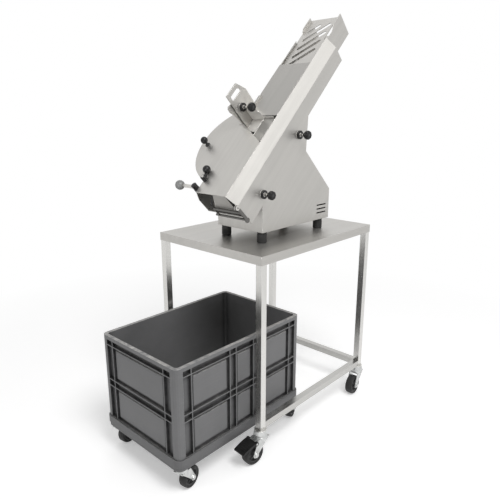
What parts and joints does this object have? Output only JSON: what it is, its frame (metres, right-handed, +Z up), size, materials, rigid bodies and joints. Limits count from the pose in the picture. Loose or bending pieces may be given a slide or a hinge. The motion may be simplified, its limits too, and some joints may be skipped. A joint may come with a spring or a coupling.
{
  "type": "roll slicing machine on stand",
  "caption": "Sloping stainless chute with a spinning disc blade slices rolls and drops the halves into a plastic crate on a dolly under the wheeled stand.",
  "frame": {"origin": "on the floor, under the middle of the bounding box", "axes": "+Z up, +X from the outlet side towards the back of the machine, +Y away from the side with the knobs"},
  "size_m": [1.001, 0.5476, 1.5494],
  "materials": {
    "stainless": "satin",
    "zinc": "bright zinc",
    "blade_steel": "ground",
    "rubber": "matte",
    "black_plastic": "satin",
    "grey_plastic": "moulded matte",
    "dark_steel": "blackened",
    "motor_paint": "semi-gloss",
    "start_plastic": "gloss",
    "stop_plastic": "gloss"
  },
  "bodies": {
    "stand": {"tabletop": "stainless", "leg_near_left": "stainless", "leg_near_right": "stainless", "leg_far_left": "stainless", "leg_far_right": "stainless", "lower_rail_near": "stainless", "lower_rail_far": "stainless", "lower_rail_right": "stainless"},
    "castor_fork_near_left": {"castor_fork_near_left": "zinc"},
    "castor_wheel_near_left": {"castor_wheel_near_left": "rubber"},
    "castor_pedal_near_left": {"castor_pedal_near_left": "black_plastic"},
    "castor_fork_near_right": {"castor_fork_near_right": "zinc"},
    "castor_wheel_near_right": {"castor_wheel_near_right": "rubber"},
    "castor_fork_far_left": {"castor_fork_far_left": "zinc"},
    "castor_wheel_far_left": {"castor_wheel_far_left": "rubber"},
    "castor_pedal_far_left": {"castor_pedal_far_left": "black_plastic"},
    "castor_fork_far_right": {"castor_fork_far_right": "zinc"},
    "castor_wheel_far_right": {"castor_wheel_far_right": "rubber"},
    "dolly": {"dolly_tray": "grey_plastic"},
    "crate": {"crate": "grey_plastic"},
    "dolly_fork_near_left": {"dolly_fork_near_left": "zinc"},
    "dolly_wheel_near_left": {"dolly_wheel_near_left": "rubber"},
    "dolly_fork_near_right": {"dolly_fork_near_right": "zinc"},
    "dolly_wheel_near_right": {"dolly_wheel_near_right": "rubber"},
    "dolly_fork_far_left": {"dolly_fork_far_left": "zinc"},
    "dolly_wheel_far_left": {"dolly_wheel_far_left": "rubber"},
    "dolly_fork_far_right": {"dolly_fork_far_right": "zinc"},
    "dolly_wheel_far_right": {"dolly_wheel_far_right": "rubber"},
    "slicer": {"near_side_panel": "stainless", "far_side_panel": "stainless", "front_panel": "stainless", "rear_panel": "stainless", "base_pan": "stainless", "foot_near_left": "rubber", "foot_near_right": "rubber", "foot_far_left": "rubber", "foot_far_right": "rubber", "switch_box": "grey_plastic", "chute_tray": "stainless", "chute_cover": "stainless", "blade_pan": "stainless", "hopper": "stainless", "motor": "motor_paint", "hold_down_bracket": "stainless", "lever_hub": "black_plastic"},
    "blade_rotor": {"spindle": "dark_steel", "blade": "blade_steel", "blade_nut": "dark_steel"},
    "blade_cover": {"blade_cover": "stainless", "cover_ball_knob": "black_plastic"},
    "cover_latch": {"cover_latch": "black_plastic"},
    "hold_down": {"hold_down_plate": "stainless"},
    "hold_down_knob": {"hold_down_knob": "black_plastic"},
    "width_guide": {"width_guide": "stainless"},
    "lower_side_knob": {"lower_side_knob": "black_plastic"},
    "upper_side_knob": {"upper_side_knob": "black_plastic"},
    "lever_rod": {"lever_rod": "zinc"},
    "outlet_guard": {"outlet_guard": "dark_steel"},
    "start_button": {"start_button": "start_plastic"},
    "stop_button": {"stop_button": "stop_plastic"}
  },
  "joints": [
    {"name": "castor_swivel_near_left", "type": "hinge", "parent": "stand", "child": "castor_fork_near_left", "pos_m": [-0.16955, -0.24418, 0.116], "axis": [0, 0, 1], "continuous": true},
    {"name": "castor_spin_near_left", "type": "hinge", "parent": "castor_fork_near_left", "child": "castor_wheel_near_left", "pos_m": [-0.2074, -0.24086, 0.04], "axis": [0.0872, 0.9962, 0], "continuous": true},
    {"name": "castor_brake_near_left", "type": "hinge", "parent": "castor_fork_near_left", "child": "castor_pedal_near_left", "pos_m": [-0.2084, -0.24078, 0.086], "axis": [0.0872, 0.9962, 0], "range_deg": [0, 12]},
    {"name": "castor_swivel_near_right", "type": "hinge", "parent": "stand", "child": "castor_fork_near_right", "pos_m": [0.47245, -0.24418, 0.116], "axis": [0, 0, 1], "continuous": true},
    {"name": "castor_spin_near_right", "type": "hinge", "parent": "castor_fork_near_right", "child": "castor_wheel_near_right", "pos_m": [0.43466, -0.24815, 0.04], "axis": [-0.1045, 0.9945, 0], "continuous": true},
    {"name": "castor_swivel_far_left", "type": "hinge", "parent": "stand", "child": "castor_fork_far_left", "pos_m": [-0.16955, 0.24782, 0.116], "axis": [0, 0, 1], "continuous": true},
    {"name": "castor_spin_far_left", "type": "hinge", "parent": "castor_fork_far_left", "child": "castor_wheel_far_left", "pos_m": [-0.20755, 0.24782, 0.04], "axis": [0, 1, 0], "continuous": true},
    {"name": "castor_brake_far_left", "type": "hinge", "parent": "castor_fork_far_left", "child": "castor_pedal_far_left", "pos_m": [-0.20855, 0.24782, 0.086], "axis": [0, 1, 0], "range_deg": [0, 12]},
    {"name": "castor_swivel_far_right", "type": "hinge", "parent": "stand", "child": "castor_fork_far_right", "pos_m": [0.47245, 0.24782, 0.116], "axis": [0, 0, 1], "continuous": true},
    {"name": "castor_spin_far_right", "type": "hinge", "parent": "castor_fork_far_right", "child": "castor_wheel_far_right", "pos_m": [0.43503, 0.24123, 0.04], "axis": [-0.1736, 0.9848, 0], "continuous": true},
    {"name": "dolly_roll_out", "type": "slide", "parent": "stand", "child": "dolly", "axis": [-1, 0, 0], "range_m": [-0.15, 0.4]},
    {"name": "dolly_swivel_near_left", "type": "hinge", "parent": "dolly", "child": "dolly_fork_near_left", "pos_m": [-0.46755, -0.17117, 0.098], "axis": [0, 0, 1], "continuous": true},
    {"name": "dolly_spin_near_left", "type": "hinge", "parent": "dolly_fork_near_left", "child": "dolly_wheel_near_left", "pos_m": [-0.43233, -0.16369, 0.0375], "axis": [0.2079, -0.9781, 0], "continuous": true},
    {"name": "dolly_swivel_near_right", "type": "hinge", "parent": "dolly", "child": "dolly_fork_near_right", "pos_m": [0.07645, -0.17117, 0.098], "axis": [0, 0, 1], "continuous": true},
    {"name": "dolly_spin_near_right", "type": "hinge", "parent": "dolly_fork_near_right", "child": "dolly_wheel_near_right", "pos_m": [0.10983, -0.15769, 0.0375], "axis": [0.3746, -0.9272, 0], "continuous": true},
    {"name": "dolly_swivel_far_left", "type": "hinge", "parent": "dolly", "child": "dolly_fork_far_left", "pos_m": [-0.46755, 0.18083, 0.098], "axis": [0, 0, 1], "continuous": true},
    {"name": "dolly_spin_far_left", "type": "hinge", "parent": "dolly_fork_far_left", "child": "dolly_wheel_far_left", "pos_m": [-0.43199, 0.18646, 0.0375], "axis": [0.1564, -0.9877, 0], "continuous": true},
    {"name": "dolly_swivel_far_right", "type": "hinge", "parent": "dolly", "child": "dolly_fork_far_right", "pos_m": [0.07645, 0.18083, 0.098], "axis": [0, 0, 1], "continuous": true},
    {"name": "dolly_spin_far_right", "type": "hinge", "parent": "dolly_fork_far_right", "child": "dolly_wheel_far_right", "pos_m": [0.11106, 0.19075, 0.0375], "axis": [0.2756, -0.9613, 0], "continuous": true},
    {"name": "crate_lift_off", "type": "slide", "parent": "dolly", "child": "crate", "axis": [0, 0, 1], "range_m": [0, 0.12]},
    {"name": "slicer_lift_off", "type": "slide", "parent": "stand", "child": "slicer", "axis": [0, 0, 1], "range_m": [0, 0.1]},
    {"name": "blade_spin", "type": "hinge", "parent": "slicer", "child": "blade_rotor", "pos_m": [-0.02973, 0.00382, 1.04102], "axis": [-0.7071, 0, 0.7071], "continuous": true},
    {"name": "blade_cover_lift_off", "type": "slide", "parent": "slicer", "child": "blade_cover", "axis": [-0.7071, 0, 0.7071], "range_m": [0, 0.1]},
    {"name": "cover_latch_turn", "type": "hinge", "parent": "blade_cover", "child": "cover_latch", "pos_m": [-0.17893, 0.00082, 0.96961], "axis": [-0.7071, 0, 0.7071], "range_deg": [0, 90]},
    {"name": "hold_down_height", "type": "slide", "parent": "slicer", "child": "hold_down", "axis": [-0.7071, 0, 0.7071], "range_m": [-0.025, 0.006]},
    {"name": "hold_down_knob_turn", "type": "hinge", "parent": "hold_down", "child": "hold_down_knob", "pos_m": [-0.00922, -0.00817, 1.21002], "axis": [0, 1, 0], "continuous": true},
    {"name": "guide_width", "type": "slide", "parent": "slicer", "child": "width_guide", "axis": [0, 1, 0], "range_m": [0, 0.014]},
    {"name": "lower_knob_turn", "type": "hinge", "parent": "width_guide", "child": "lower_side_knob", "pos_m": [-0.06049, -0.17317, 0.9247], "axis": [0, 1, 0], "continuous": true},
    {"name": "upper_knob_turn", "type": "hinge", "parent": "width_guide", "child": "upper_side_knob", "pos_m": [0.13043, -0.17317, 1.11562], "axis": [0, 1, 0], "continuous": true},
    {"name": "lever_swing", "type": "hinge", "parent": "slicer", "child": "lever_rod", "pos_m": [-0.20827, 0.02082, 0.94804], "axis": [-0.7071, 0, 0.7071], "range_deg": [-30, 30]},
    {"name": "outlet_guard_swing", "type": "hinge", "parent": "slicer", "child": "outlet_guard", "pos_m": [-0.18883, -0.15318, 0.89536], "axis": [0, 1, 0], "range_deg": [0, 60]},
    {"name": "start_button_press", "type": "slide", "parent": "slicer", "child": "start_button", "axis": [0, -1, 0], "range_m": [0, 0.003], "stiffness_N_per_m": 600},
    {"name": "stop_button_press", "type": "slide", "parent": "slicer", "child": "stop_button", "axis": [0, -1, 0], "range_m": [0, 0.003], "stiffness_N_per_m": 600}
  ]
}
